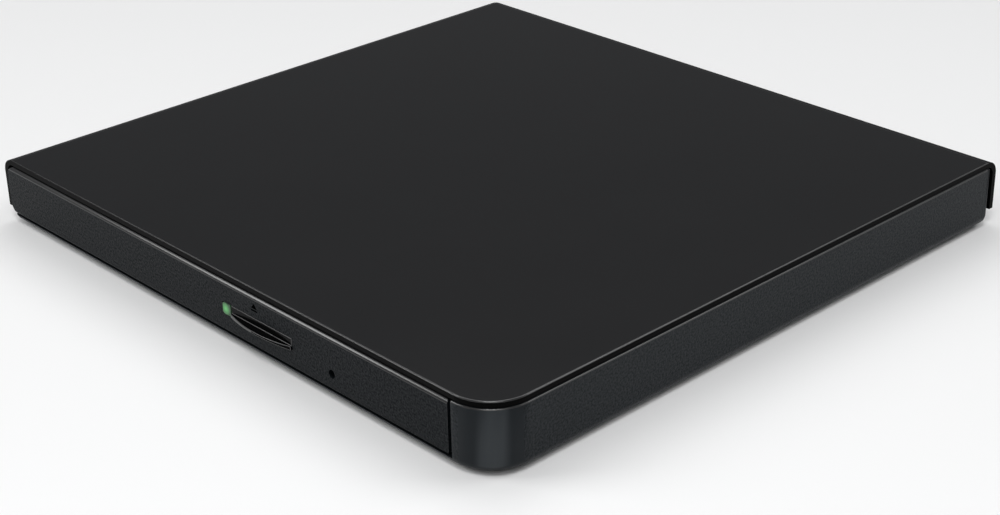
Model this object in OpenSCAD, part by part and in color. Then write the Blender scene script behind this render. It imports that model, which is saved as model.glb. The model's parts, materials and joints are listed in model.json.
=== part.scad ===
// Slim external disc drive with a sliding tray.
// Millimetres, +Z up, +X to the right along the front, +Y towards the rear.
// The origin is the middle of the footprint, on the surface that the feet stand on.

/* [Case] */
// Width of the case, left to right
case_w = 144; // [130:0.5:158]
// Depth of the case, bezel face to rear face
case_d = 137.5; // [124:0.5:151]
// Height of the case on its feet
case_h = 14; // [13.8:0.1:17]
// Thickness of the top cover
cover_t = 1.1; // [0.8:0.1:1.3]
// Outer radius of the top cover's left and rear bends
bend_r = 3; // [2.4:0.2:3.6]
// Height at which the cover's left and rear skirts stop
skirt_z = 3.4; // [2.6:0.2:5]
// Play between the cover's skirts and the lower case
skirt_gap = 0.2; // [0.1:0.05:0.4]
// How far the cover's free edges sit inside the lower case
cover_inset = 0.3; // [0.1:0.1:0.6]
// Seam between the cover and the walls under its free edges
seam_gap = 0.15; // [0.05:0.05:0.4]
// Plan radius of the near front right corner
corner_r = 8.5; // [6:0.5:10]
// Thickness of the lower case's outer walls
wall_t = 1.6; // [1.2:0.1:2]
// Thickness of the lower case's walls inside the skirts
inner_wall_t = 1.2; // [0.8:0.1:1.6]
// Thickness of the lower case's floor
floor_t = 1.2; // [1:0.1:1.6]
// Radius round the bottom edge of the lower case
base_r = 1.7; // [0.8:0.1:1.9]
// Radius of the lower case's other three plan corners
small_corner_r = 2; // [1.9:0.1:3]
// Radius at the top of the right wall's rear end, inside the cover's bend
wall_end_r = 2; // [1.8:0.1:3]
// Height of the ribs that carry the drive
rib_h = 0.4; // [0.3:0.1:0.8]
// Height that the feet lift the case
foot_h = 0.8; // [0.6:0.1:1.4]
// Radius of a foot
foot_r = 4.5; // [3:0.5:6]
// Depth of the pocket that a foot is glued into
foot_pocket = 0.4; // [0.2:0.1:0.6]
// Inset of the feet from the sides of the case
foot_in = 16; // [12:1:24]

/* [Case screws] */
// Radius of the screws that hold the case together
case_screw_r = 0.95; // [0.8:0.05:1.1]
// Length of those screws in the cover's bosses
case_grip = 4; // [3:0.5:5]
// Radius of their heads
case_head_r = 1.8; // [1.6:0.1:2]
// Height of their heads
case_head_h = 1.1; // [0.8:0.1:1.2]
// Depth of the holes that their heads sit in
head_in = 1.4; // [1.2:0.1:1.8]
// Radius of the lower case's screw bosses
boss_r = 3.2; // [2.9:0.1:3.4]
// Height of the lower case's screw bosses
boss_h = 2.6; // [2:0.1:3]
// Distance of the bosses from the walls beside them
boss_in = 3.6; // [3.5:0.1:4.2]
// Distance of the front boss from the bezel's face
boss_front = 15; // [13:0.5:20]

/* [Bezel and button] */
// Thickness of the tray's front bezel
bezel_t = 2; // [1.6:0.1:2.6]
// Radius along the top front edge of the bezel
bezel_top_r = 0.9; // [0.4:0.1:1.2]
// Radius of the bezel's two left corners
bezel_end_r = 2.2; // [1:0.2:3]
// Radius of the bezel's two right corners
bezel_near_r = 0.6; // [0.3:0.1:1]
// How far the bezel runs past the drive on the right
bezel_over = 2.2; // [1.6:0.1:3]
// Gap between the bezel and the fixed corner of the case
bezel_gap = 0.8; // [0.5:0.1:1.4]
// Gap above and below the bezel
bezel_play = 0.35; // [0.2:0.05:0.6]
// Width of the eject button
button_w = 17.3; // [14:0.1:20]
// Height of the eject button
button_h = 2.3; // [2:0.1:2.4]
// Distance of the button's middle from the disc's centre line
button_off = 17.45; // [16:0.05:19]
// Height of the button's middle above the drive's underside
button_up = 4.6; // [4.5:0.05:5]
// How far the middle of the button's lip stands out of the bezel
lip_reach = 1.5; // [0.8:0.1:2.2]
// How far the ends of the button's lip stand out of the bezel
lip_end = 0.3; // [0.1:0.1:0.6]
// Thickness of the button's lip at its edge
lip_t = 0.45; // [0.3:0.05:0.6]
// How far the lip's edge lies below the button's middle
lip_down = 0.6; // [0:0.05:0.7]
// Rise of the lip's upper face from its edge to its root
lip_rise = 0.1; // [0:0.05:0.4]
// Play round the button and the lamp lens
button_play = 0.12; // [0.08:0.02:0.2]
// Way that the button can be pressed in
press = 0.6; // [0.4:0.1:0.7]
// Width of the activity lamp's lens
lens_w = 2.5; // [1.8:0.1:2.8]
// Radius of the emergency release hole
pinhole_r = 0.85; // [0.6:0.05:1]
// Distance of the release hole from the tray's right side
pinhole_in = 23.6; // [23:0.1:24.4]
// Height of the release hole above the drive's underside
pinhole_up = 3.05; // [2.7:0.05:3.2]
// Distance of the bezel's clips from the tray's sides
clip_in = 18; // [14:1:19]
// Width of a clip
clip_w = 6; // [4:0.5:8]
// Thickness of a clip
clip_t = 0.8; // [0.6:0.1:1]

/* [Drive] */
// Room between the drive and the case's right wall
right_room = 10.4; // [10:0.1:14]
// Room between the drive and the case's rear wall
rear_room = 8; // [7.8:0.1:12]
// Height of the drive with its lid
drive_h = 9.5; // [9.3:0.1:10.2]
// Thickness of the pan's steel
sheet_t = 0.6; // [0.4:0.1:0.7]
// Thickness of the lid's steel
lid_t = 0.5; // [0.3:0.1:0.6]
// Height of the lid's side skirts
lid_skirt = 2.4; // [1.6:0.2:4]
// Gap between the drive's pan and the case on the left
drive_side_gap = 1.5; // [1.1:0.1:2]
// Gap between the bezel and the front of the pan
mouth_gap = 1; // [0.6:0.1:1.6]
// Length of the pan's fixing tabs
tab_l = 5.4; // [5:0.1:5.8]
// Width of the pan's fixing tabs
tab_w = 5.6; // [5:0.1:6.5]
// Distance of the tabs' holes from the pan
tab_hole_out = 3; // [2.8:0.1:3.2]
// Height of the tabs above the pan's floor
tab_up = 1.4; // [1:0.1:2]
// Distance of the front tab from the bezel's face
front_tab = 28; // [24:1:34]
// Distance of the rear tab from the pan's rear
rear_tab = 23; // [18:1:28]
// Distance of the left tab from the pan's left side
left_tab = 14; // [12:1:18]
// Distance of the lid's tabs from the pan's sides
lid_tab_in = 9; // [7:0.5:12]

/* [Tray and rails] */
// Room behind the tray in the pan
tray_back = 9; // [8.8:0.1:10]
// Thickness of the tray's floor and side walls
tray_t = 1.2; // [1:0.1:1.4]
// Width of the tray's rim in front of the disc
front_rim = 1.5; // [1.4:0.1:2]
// Depth of the disc recess
recess_d = 2.8; // [2.2:0.1:3]
// Height of the bay under the tray's floor
bay_h = 2.3; // [2.2:0.1:2.5]
// Thickness of the plate under the tray
plate_t = 0.4; // [0.3:0.05:0.5]
// Running gap between the tray and the pan
run_gap = 0.3; // [0.2:0.05:0.4]
// Half the length of the cut in the tray's rim at each side of the disc
rim_cut = 16; // [12:1:22]
// Width of the guides beside the tray
guide_w = 2.6; // [2.4:0.1:2.8]
// Height of the guides
guide_h = 4.2; // [4:0.1:4.4]
// Wall of the guides
guide_wall = 0.6; // [0.5:0.05:0.7]
// Lip of the guides that keeps the rails in
guide_lip = 0.4; // [0.3:0.05:0.5]
// Thickness of the rails' steel
rail_t = 0.4; // [0.3:0.05:0.5]
// Sliding play of the rails and of the tray in them
slide_gap = 0.12; // [0.08:0.02:0.16]
// Distance of the rails' front ends from the pan's front edge
rail_in = 1; // [0.6:0.1:2]
// How far the rails run past the tray's rear end
rail_over = 2; // [1:0.5:4]

/* [Disc and spindle] */
// Room beside the disc at each side of the drive
disc_side = 4; // [3.8:0.1:5]
// Least room in front of and behind the disc together
disc_ends = 4; // [3:0.5:6]
// Gap round the disc in its recess
disc_gap = 0.5; // [0.3:0.1:1]
// Thickness of the disc
disc_t = 1.2; // [1:0.1:1.3]
// Radius of the hub that centres the disc
hub_r = 7.4; // [7:0.05:7.45]
// Radius of the turntable
turntable_r = 13.3; // [12.9:0.1:13.8]
// Height of the disc's seat above the recess floor
seat_up = 1.3; // [1.2:0.1:1.4]
// Height of the hub above the disc's seat
hub_h = 2.2; // [2.1:0.1:2.4]
// Height and inset of the bevel round the hub's top
hub_bevel = 0.7; // [0.5:0.1:0.8]
// Thickness of the turntable's flange
flange_t = 0.6; // [0.5:0.1:0.7]
// How far the flange stands out over the rotor
flange_over = 0.5; // [0.4:0.1:0.7]
// Thickness of the rubber ring under the disc
pad_t = 0.4; // [0.3:0.05:0.5]
// Width of the rubber ring
pad_w = 2.8; // [2:0.1:3.4]
// Radius of the spindle shaft
spindle_r = 1; // [0.8:0.05:1.2]
// Width of a disc claw
claw_w = 3; // [2.4:0.1:3.2]
// Length of a disc claw
claw_l = 2.9; // [2.4:0.1:3.2]
// Way that a claw can be pushed in
claw_way = 0.8; // [0.6:0.1:1]

/* [Pickup] */
// Angle of the pickup's track, from +X
track_angle = 225; // [222:1:228]
// Disc radius under the lens at its inner stop
lens_in = 24; // [24:0.1:25]
// Distance of the lens from the disc's edge at its outer stop
lens_edge = 2.5; // [2.5:0.1:4]
// Radius of the objective lens
lens_r = 2.1; // [1.6:0.1:2.4]
// Reach of the pickup from the lens towards the spindle
pickup_back = 7; // [6.6:0.1:7]
// Reach of the pickup's bushes from the lens towards the disc's edge
pickup_front = 4; // [3.6:0.1:4.4]
// Half the length of the well that the lens stands in
well_l = 5.4; // [5:0.1:5.6]
// Radius of the pickup's guide shafts
shaft_r = 0.95; // [0.8:0.05:1]
// Wall of the pickup's bushes beside the shafts
bush_wall = 0.6; // [0.5:0.05:0.8]
// Half the height of the pickup's bushes
bush_h = 1.3; // [1.2:0.05:1.4]
// Radius of the lead screw over its thread
screw_r = 1.2; // [1.1:0.05:1.25]
// Depth of the lead screw's thread
thread_d = 0.4; // [0.3:0.05:0.45]
// Advance of the lead screw per turn
screw_lead = 3; // [2.5:0.25:4]
// Radial clearance of a shaft in its bearing
bearing_gap = 0.04; // [0.02:0.01:0.08]
// Radius of the feed motor's can
can_r = 3.1; // [2.6:0.1:3.4]
// Length of the feed motor's can
can_l = 11.5; // [10:0.5:12]

/* [Traverse] */
// Half the width of the traverse frame
frame_half = 22.5; // [20.3:0.1:24.7]
// Wall of the traverse frame
frame_wall = 1.2; // [0.9:0.1:1.3]
// Reach of the traverse frame behind the spindle
frame_back = 17; // [16:0.5:18]
// Reach of the traverse frame past the lens at its outer stop
frame_front = 8.5; // [8:0.1:9]
// Length of the frame's cut corners along each side
frame_cut = 7.5; // [7:0.1:9]
// Thickness of the frame's base and ears
base_t = 0.6; // [0.5:0.1:0.7]
// Height of the shafts above the frame's underside
shaft_up = 1.5; // [1.45:0.05:1.6]
// Distance of the main shaft from the frame's side
main_shaft_in = 10; // [9.8:0.1:10.2]
// Distance of the second shaft from the frame's other side
sub_shaft_in = 7; // [6.6:0.1:7.4]
// Distance of the lead screw from the frame's side
screw_in = 4.8; // [4.6:0.1:4.9]
// Distance of the ears' holes from the frame's sides
ear_out = 4.5; // [4.2:0.1:5]
// Place of the two side ears along the track
ear_x = 33; // [30:0.5:36]
// Radius of the ears
ear_r = 3.6; // [3.2:0.1:3.8]
// Radius of the rubber dampers in the ears
ear_hole_r = 2; // [1.8:0.1:2.2]
// Width of the dampers' lips
damper_lip = 0.9; // [0.7:0.1:1.1]
// Number of the stator's poles
poles = 9; // [6:3:12]

/* [Connections] */
// Thickness of the circuit boards
board_t = 0.8; // [0.6:0.1:0.9]
// Gap between the traverse and the tray's board
board_gap = 1; // [0.7:0.1:1.4]
// Width of the board's strip that runs to the front
strip_w = 4; // [3.6:0.1:4]
// Width of the flat cable between the tray and the pan
cable_w = 18; // [12:1:19]
// Thickness of the flat cable
cable_t = 0.12; // [0.08:0.02:0.16]
// Distance of the cable's fold from the tray's front
fold_in = 30; // [29:0.5:34]
// Distance of the tray's cable socket from the tray's rear
socket_in = 20; // [16:1:24]
// Depth of the cable sockets
socket_d = 4; // [3:0.1:4.2]
// Half the width of the connector between the two boards
link_half = 12; // [9:0.5:12.5]
// Distance of the USB socket from the middle of the case
usb_x = 38; // [30:1:42]
// Width of the USB socket
usb_w = 7.7; // [7.5:0.1:8]
// Height of the USB socket
usb_h = 3.95; // [3.8:0.05:4.1]
// Depth of the USB socket
usb_l = 8.6; // [8:0.1:8.8]
// Wall of the USB socket's shell
usb_wall = 0.35; // [0.25:0.05:0.4]
// Radius of the small screws
screw_s = 0.8; // [0.6:0.05:0.9]
// Radius of the small screws' heads
head_r = 1.5; // [1.3:0.1:1.6]
// Height of the small screws' heads
head_h = 0.7; // [0.5:0.1:0.8]

/* [Latch] */
// Distance of the lever's pivot from the tray's right side
pivot_in = 11; // [10.8:0.1:11.4]
// Distance of the lever's pivot from the tray's front
pivot_back = 24; // [23.5:0.1:25]
// Radius of the lever's pivot
pivot_r = 1; // [0.8:0.1:1.2]
// Distance of the lock post from the tray's right side
lock_in = 6.5; // [6.2:0.1:6.8]
// Distance of the lock post from the pivot, towards the front
lock_reach = 11.5; // [11:0.1:12]
// Radius of the post that the latch hooks behind
post_r = 1.2; // [0.9:0.1:1.3]
// Thickness of the latch lever
lever_t = 0.8; // [0.6:0.1:0.9]
// Width of the latch lever's arms
lever_w = 2.4; // [2:0.1:2.6]
// Distance of the solenoid from the pivot, towards the front
arm_reach = 15; // [14.5:0.1:15.5]
// Width of the solenoid
solenoid_w = 6; // [5:0.1:6.4]
// Radius of the solenoid's plunger
plunger_r = 0.7; // [0.5:0.05:0.8]
// Distance of the eject pusher from the disc's centre line
pusher_off = 36; // [34:0.5:38]
// Radius of the eject pusher
pusher_r = 0.6; // [0.5:0.05:0.7]
// How far the eject pusher runs past its front guide
pusher_over = 3; // [2:0.5:5]

/* [Hidden] */
$fn = 64;
// Overshoot of a cut past the face that it opens
cut = 1;

// Fits that several pieces share: how far a feature runs into its own piece, the gap between pieces that
// lie close, between pieces that must not touch and between pieces that pass, the play of a screw's shank,
// the room past a screw's point, and the cut at the corner of a moulding
join = 0.1;
close_gap = 0.05;
part_gap = 0.2;
pass_gap = 0.4;
shank_gap = 0.2;
point_gap = 0.4;
mould_r = 0.3;
frame_gap = 0.5;

// Case outline
left_x = -case_w / 2;
right_x = case_w / 2;
front_y = (lip_reach - case_d) / 2;
rear_y = front_y + case_d;
cover_z = case_h - cover_t;
floor_z = foot_h + floor_t;
wall_top = cover_z - seam_gap;
low_x = left_x + cover_t + skirt_gap;
low_y = rear_y - cover_t - skirt_gap;
in_x = low_x + inner_wall_t;
in_y = low_y - inner_wall_t;
right_in = right_x - wall_t;
skirt_wall_top = case_h - bend_r - skirt_gap;
boss_z = floor_z + boss_h;
head_z = foot_h + head_in;
rib_pitch = case_d / 3;

// Drive pan
drive_x = in_x + drive_side_gap;
drive_x1 = right_in - right_room;
drive_w = drive_x1 - drive_x;
drive_y = front_y + bezel_t + mouth_gap;
drive_y1 = in_y - rear_room;
drive_z = floor_z + rib_h;
drive_top = drive_z + drive_h;
pan_z = drive_z + sheet_t;
lid_z = drive_top - lid_t;
pan_x = drive_x + sheet_t;
pan_rear = drive_y1 - sheet_t;
tab_z = pan_z + tab_up;

// Bezel and corner
bezel_x = low_x + skirt_gap / 4;
bezel_x1 = drive_x1 + bezel_over;
bezel_z = floor_z + bezel_play;
bezel_z1 = cover_z - bezel_play;
bezel_back = front_y + bezel_t;
block_x = bezel_x1 + bezel_gap;
block_l = corner_r + cover_inset;

// Tray
spindle_x = (drive_x + drive_x1) / 2;
disc_d = min(drive_w - 2 * disc_side, drive_y1 - drive_y - disc_ends);
recess_r = disc_d / 2 + disc_gap;
tray_y = bezel_back;
tray_y1 = drive_y1 - tray_back;
spindle_y = tray_y + front_rim + recess_r;
plate_z = pan_z + run_gap;
tray_z = plate_z + plate_t;
bay_top = tray_z + bay_h;
recess_z = bay_top + tray_t;
rim_z = recess_z + recess_d;
guide_x = pan_x + guide_w;
tray_x = guide_x + run_gap;
tray_x1 = 2 * spindle_x - tray_x;
deck_z = recess_z + run_gap;
deck_x = pan_x + 2 * run_gap;
deck_x1 = 2 * spindle_x - deck_x;
corner_top = rim_z - tray_t;
clip_z = corner_top - 2 * tray_t;
clips = [tray_x + clip_in, tray_x1 - clip_in];

// Rails, as heights and reaches shared by guide, rail and tray
slot_z = pan_z + guide_wall;
slot_z1 = pan_z + guide_h - guide_wall;
rail_x = pan_x + guide_wall + slide_gap;
rail_x1 = guide_x - guide_lip - slide_gap;
rail_z = slot_z + slide_gap;
rail_z1 = slot_z1 - slide_gap;
tongue_z = rail_z + rail_t + slide_gap;
tongue_z1 = rail_z1 - rail_t - slide_gap;
rail_y = drive_y + rail_in;
rail_y1 = tray_y1 + rail_over;

// Spindle, heights from the recess floor
seat_z = recess_z + seat_up;
flange_z = seat_z - pad_t;
rotor_r = turntable_r - flange_over;
hub_top = seat_z + hub_h;
bevel_z = hub_top - hub_bevel;
claw_z = seat_z + disc_t;
claw_z1 = hub_top - hub_bevel / 2;
claw_face = hub_r - close_gap;
claw_back = claw_face - claw_l;
claw_angles = [90, 210, 330];

// Traverse, in its own frame: +X along the track from the spindle
lens_out = disc_d / 2 - lens_edge;
track_z = tray_z + part_gap;
frame_top = recess_z - pass_gap;
frame_x = -frame_back;
frame_x1 = lens_out + frame_front;
frame_reach = cos(track_angle) * (frame_x + frame_cut) - sin(track_angle) * frame_half;
frame_z = track_z + base_t;
shaft_z = track_z + shaft_up;
main_shaft_y = frame_half - main_shaft_in;
sub_shaft_y = frame_half - sub_shaft_in;
can_gap = 0.5;
screw_y = max(frame_half - screw_in, turntable_r + can_gap + can_r);
bush_w = shaft_r + bush_wall;
holder_half = shaft_r + frame_wall;
holder_in = lens_in - pickup_back - mould_r;
holder_out = lens_out + pickup_front + mould_r;
holder_top = frame_top - part_gap;
holder_back = 4.2;
shaft_l = 3.6;
shaft_end = 1.6;
shaft_x = holder_in - shaft_l;
shaft_x1 = holder_out + shaft_end;
journal_in = 0.15;
journal_r = screw_r - thread_d - journal_in;
journal_l = 5.5;
screw_end = 0.8;
thread_stop = 2.4;
motor_x1 = 2.5;
motor_x = [motor_x1 - can_l, motor_x1];
thread_x = holder_in;
thread_x1 = holder_out - thread_stop;
rear_ear = 5;
ears = [[ear_x, frame_half + ear_out], [ear_x, -frame_half - ear_out], [frame_x - rear_ear, 0]];
ear_arm = 1.5 * ear_r;
ear_up = 0.5;
ear_z = track_z + ear_up;
damper_z = ear_z - pass_gap;
damper_z1 = ear_z + base_t + pass_gap;

// Spindle motor, heights from the frame's base
coil_z = frame_z + pass_gap;
coil_h = 1.3;
bearing_r = 2.4;
bearing_h = 2.2;
motor_hole_r = 2.6;
stator_in = 1.8;
coil_core_r = 4.4;
coil_slot = 1.4;
rotor_skirt = 1;
rotor_gap = 0.7;

// Pickup: places across the track, and heights
bush_join = 1;
body_gap = 3.5;
well_wall = 1.6;
body_y = [body_gap + bush_wall - sub_shaft_y, main_shaft_y - body_gap];
body_front = 6.5;
body_x1 = lens_in + body_front;
body_up = 0.8;
body_z = [track_z + mould_r, shaft_z + body_up];
well_down = 0.5;
well_half = body_y[1] - well_wall;
well_z = shaft_z - well_down;
yoke_t = 0.4;
magnet_t = 1.4;
yoke_half = well_half - pass_gap;
magnet_gap = 0.6;
holder_y = yoke_half - magnet_t - magnet_gap;
lens_top = recess_z - part_gap;
diode_r = 1;
diode_x = lens_in + diode_r;
diode_z = shaft_z - part_gap;
diode_in = 1.2;
diode_y = [body_y[0] - pass_gap, -well_half - diode_in];

// Boards
board_up = 0.9;
board_z = tray_z + board_up;
board_top = board_z + board_t;
rear_board_up = 2.2;
rear_board_z = pan_z + rear_board_up;
usb_z = rear_board_z + board_t;
usb_board_gap = 1;
usb_board_y = drive_y1 + usb_board_gap;
usb_board_left = 68;
usb_board_right = 14;
usb_board_x = [usb_x - usb_board_left, usb_x + usb_board_right];
usb_y1 = rear_y - pass_gap;
usb_step = 1.2;
tongue_half = 2.6;
tongue_t = 0.7;
tongue_drop = 1.5;
tongue_in = 1.2;
chip_h = 0.5;
board_x = spindle_x + frame_reach + board_gap;
strip_x1 = board_x + strip_w;
board_in = 1.8;
board_end = 3;
board_front = 5.2;
front_board_d = 9;
socket_over = 1;
cable_x = board_x + socket_over;
cable_x1 = cable_x + cable_w;
cable_low_z = pan_z + close_gap;
cable_drop = 0.45;
cable_high_z = board_z - cable_drop;
cable_fold_y = tray_y + fold_in;
cable_tray_y = tray_y1 - socket_in;
cable_over = 1.6;
cable_pan_y = tray_y1 + cable_over;

// Chips, each as place from its board's corner or socket, width, depth and height
usb_parts = [[-24, 1.2, 6, 5, 1], [-14, 1.8, 4, 3, 0.8], [-8, 2.2, 1.6, 2.2, 0.6], [-50, 2.2, 1.6, 2.2, 0.6],
             [-54, 2.2, 1.6, 2.2, 0.6], [-58, 2.2, 1.6, 2.2, 0.6]];
tray_parts = [[7, 52, 12, 12, chip_h], [9, 72, 7, 6, chip_h], [7, 38, 5, 6, chip_h],
              [7, 84, 1.4, 2.4, chip_h], [9.4, 84, 1.4, 2.4, chip_h], [11.8, 84, 1.4, 2.4, chip_h],
              [14.2, 84, 1.4, 2.4, chip_h], [16.6, 84, 1.4, 2.4, chip_h]];

// Button, lamp and release hole
button_x = spindle_x + button_off;
button_z = drive_z + button_up;
window_x = button_x - button_w / 2 - button_play - lens_w - button_play;
window_x1 = button_x + button_w / 2 + button_play;
window_z = button_z - button_h / 2 - button_play;
window_z1 = button_z + button_h / 2 + button_play;
stem_t = 0.7;
stem_y = [bezel_back + close_gap, bezel_back + close_gap + stem_t];
stem_over = 0.6;
switch_half = 3;
switch_gap = 0.85;
switch_y = stem_y[1] + press + switch_gap;
switch_r = 0.5;
switch_up = 0.35;
switch_z = board_z + switch_up;
switch_bore = 1.4;
lamp_half = 0.8;
lamp_l = 4.4;
lamp_y = [stem_y[1] + part_gap, stem_y[1] + part_gap + lamp_l];
pinhole_x = tray_x1 - pinhole_in;
pinhole_z = drive_z + pinhole_up;

// Latch
pivot_x = tray_x1 - pivot_in;
pivot_y = tray_y + pivot_back;
lock_x = tray_x1 - lock_in;
lock_y = pivot_y - lock_reach;
lock_way = 2 * post_r + pass_gap / 2;
rivet_step = 0.48;
rivet_r = post_r - rivet_step;
lever_up = 0.3;
lever_z = tray_z + lever_up;
lever_hub_r = lever_w;
hook_d = 2.5;
hook_bite = 0.3;
arm_y = pivot_y - arm_reach;
arm_half = 0.8;
trip_half = 1.4;
plunger_z = tray_z + bay_h / 2;
coil_in = 2.4;
coil_out = 3.2;
plunger_in = 1.4;
pusher_x = spindle_x - pusher_off;
pusher_z = tray_z + bay_h / 2;
guide_in = 0.9;
guide_pitch = 20;
pusher_edge = spindle_y + sqrt(pow(recess_r, 2) - pow(pusher_off, 2));
pusher_guides = [pusher_edge - guide_in, pusher_edge - guide_in - guide_pitch];
pusher_y = pusher_guides[1] - pusher_over;
pusher_block = [2, 1];

// Posts: radii, and lengths of screw in them
pan_post_r = 1.6;
tab_post_r = 2.2;
usb_post_r = 1.9;
plate_post_r = 2;
board_post_r = 1.8;
ear_post_r = 2.2;
tab_grip = 2.6;
usb_grip = 2.4;
rear_grip = 1.6;
flat_head_h = 0.4;
damper_head_h = 0.3;
recess_hex_r = 0.7;
recess_hex_d = 0.5;

// Screw places
cover_bosses = [[right_in - boss_in, front_y + boss_front], [right_in - boss_in, in_y - boss_in],
                [in_x + boss_in, in_y - boss_in]];
pan_tabs = [[drive_x1, front_y + front_tab, 0], [drive_x1, drive_y1 - rear_tab, 0],
            [drive_x + left_tab, drive_y1, 90]];
board_margin = 4;
usb_post_y = in_y - board_margin;
usb_posts = [[usb_board_x[0] + board_margin, usb_post_y], [usb_board_x[1] - board_margin, usb_post_y]];
rear_post_in = 3.4;
rear_post_y = pan_rear - rear_post_in;
rear_post_gap = 2.5;
rear_posts = [[spindle_x - link_half - rear_post_gap, rear_post_y],
              [spindle_x + link_half + rear_post_gap, rear_post_y]];
board_post_in = [2, 22, 3, 10, 6];
tray_posts = [[board_x + board_post_in[0], tray_y + board_post_in[1]],
              [lock_x - post_r - board_in - board_post_in[2], tray_y1 - board_post_in[3]],
              [board_x + board_post_in[0], tray_y1 - board_post_in[4]]];
plate_post_in = [6, 7, 8, 3, 14];
plate_posts = [[tray_x + plate_post_in[0], tray_y + plate_post_in[1]],
               [tray_x + plate_post_in[0], tray_y1 - plate_post_in[1]],
               [spindle_x + plate_post_in[2], tray_y1 - plate_post_in[1]],
               [strip_x1 + plate_post_in[3], tray_y + plate_post_in[4]]];
lid_tab_half = 3;
lid_tab_back = 2.5;
lid_tab_y = pan_rear - lid_tab_back;
lid_tabs = [[drive_x + lid_tab_in, lid_tab_y], [drive_x1 - lid_tab_in, lid_tab_y]];
rear_board_x = [rear_posts[0][0] - board_margin, max(cable_x1, rear_posts[1][0]) + board_margin];
feet = [for (x = [left_x + foot_in, right_x - foot_in], y = [front_y + foot_in, rear_y - foot_in]) [x, y]];

// Box from ranges along each axis
module box(x, y, z) {
    translate([x[0], y[0], z[0]]) cube([x[1] - x[0], y[1] - y[0], z[1] - z[0]]);
}

// Upright round post at a place, over a range of heights
module post(at, z, r) {
    translate([at[0], at[1], z[0]]) cylinder(r = r, h = z[1] - z[0]);
}

// Round rod along X or along Y
module rod_x(x, y, z, r) {
    translate([x[0], y, z]) rotate([0, 90, 0]) cylinder(r = r, h = x[1] - x[0]);
}
module rod_y(x, y, z, r) {
    translate([x, y[0], z]) rotate([-90, 0, 0]) cylinder(r = r, h = y[1] - y[0]);
}

// Flat shape drawn in X and Z, Y and Z, or X and Y, given a thickness along the third axis
module slab_y(y) {
    translate([0, y[1], 0]) rotate([90, 0, 0]) linear_extrude(y[1] - y[0]) children();
}
module slab_x(x) {
    translate([x[0], 0, 0]) rotate([90, 0, 90]) linear_extrude(x[1] - x[0]) children();
}
module slab_z(z) {
    translate([0, 0, z[0]]) linear_extrude(z[1] - z[0]) children();
}

// Rectangle with its own radius at each corner: low-low, high-low, high-high, low-high
module rect4(x, y, r) {
    corners = [[x[0], y[0], 1, 1], [x[1], y[0], -1, 1], [x[1], y[1], -1, -1], [x[0], y[1], 1, -1]];
    difference() {
        translate([x[0], y[0]]) square([x[1] - x[0], y[1] - y[0]]);
        for (i = [0:3])
            if (r[i] > 0) translate([corners[i][0], corners[i][1]]) square(2 * r[i], center = true);
    }
    for (i = [0:3])
        if (r[i] > 0)
            translate([corners[i][0] + corners[i][2] * r[i], corners[i][1] + corners[i][3] * r[i]])
                circle(r[i]);
}

// The same on the right-hand side of the drive
module right_side() {
    translate([2 * spindle_x, 0, 0]) mirror([1, 0, 0]) children();
}

// From the traverse's own frame to the drive
module on_track() {
    translate([spindle_x, spindle_y, 0]) rotate([0, 0, track_angle]) children();
}

// Eight-sided outline of the traverse, grown by m
module track_outline(m) {
    x0 = frame_x - m;
    x1 = frame_x1 + m;
    h = frame_half + m;
    c = frame_cut + m * (2 - sqrt(2));
    polygon([[x0 + c, -h], [x1 - c, -h], [x1, c - h], [x1, h - c],
             [x1 - c, h], [x0 + c, h], [x0, h - c], [x0, c - h]]);
}

// Block bent over on its left and rear, from the front and right edges given
module bent_block(x0, x1, y0, y1, z0, z1, r) {
    box([x0 + r, x1], [y0, y1 - r], [z0, z1]);
    box([x0, x0 + r], [y0, y1 - r], [z0, z1 - r]);
    box([x0 + r, x1], [y1 - r, y1], [z0, z1 - r]);
    rod_y(x0 + r, [y0, y1 - r], z1 - r, r);
    rod_x([x0 + r, x1], y1 - r, z1 - r, r);
    post([x0 + r, y1 - r], [z0, z1 - r], r);
    translate([x0 + r, y1 - r, z1 - r]) sphere(r);
}

// Screw standing on its point, or hanging from its head
module screw(at, head_z, head_h, head_r, shank_z, r) {
    post(at, [min(head_z, shank_z), max(head_z, shank_z)], r);
    post(at, [min(head_z, head_z + head_h), max(head_z, head_z + head_h)], head_r);
}

// Case

module top_cover() {
    edge_r = corner_r - cover_inset;
    lip_x1 = right_in - skirt_gap;
    lip_h = 1.2;
    plug_gap = 0.9;
    color("dimgray") {
        difference() {
            intersection() {
                bent_block(left_x, right_x, front_y, rear_y, skirt_z, case_h, bend_r);
                slab_z([0, case_h + cut])
                    rect4([left_x - cut, right_x - cover_inset], [front_y + cover_inset, rear_y + cut],
                          [0, edge_r, 0, 0]);
            }
            bent_block(left_x + cover_t, right_x + cut, front_y - cut, rear_y - cover_t, skirt_z - cut,
                       cover_z, bend_r - cover_t);
            slab_y([rear_y - bend_r, rear_y + cut]) usb_window(plug_gap);
        }
        box([lip_x1 - wall_t, lip_x1], [front_y + boss_front + 3 * boss_r, in_y - 4 * boss_r],
            [cover_z - lip_h, cover_z]);
        for (at = cover_bosses)
            difference() {
                post(at, [boss_z, cover_z], boss_r - wall_t / 2);
                post(at, [boss_z - cut, boss_z + case_grip + point_gap], case_screw_r + bearing_gap);
            }
    }
}

// Outline of the opening for the USB plug, grown by m
module usb_window(m) {
    rect4([usb_x - usb_w / 2 - m, usb_x + usb_w / 2 + m], [usb_z - m, usb_z + usb_h + m], [m, m, m, m]);
}

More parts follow.
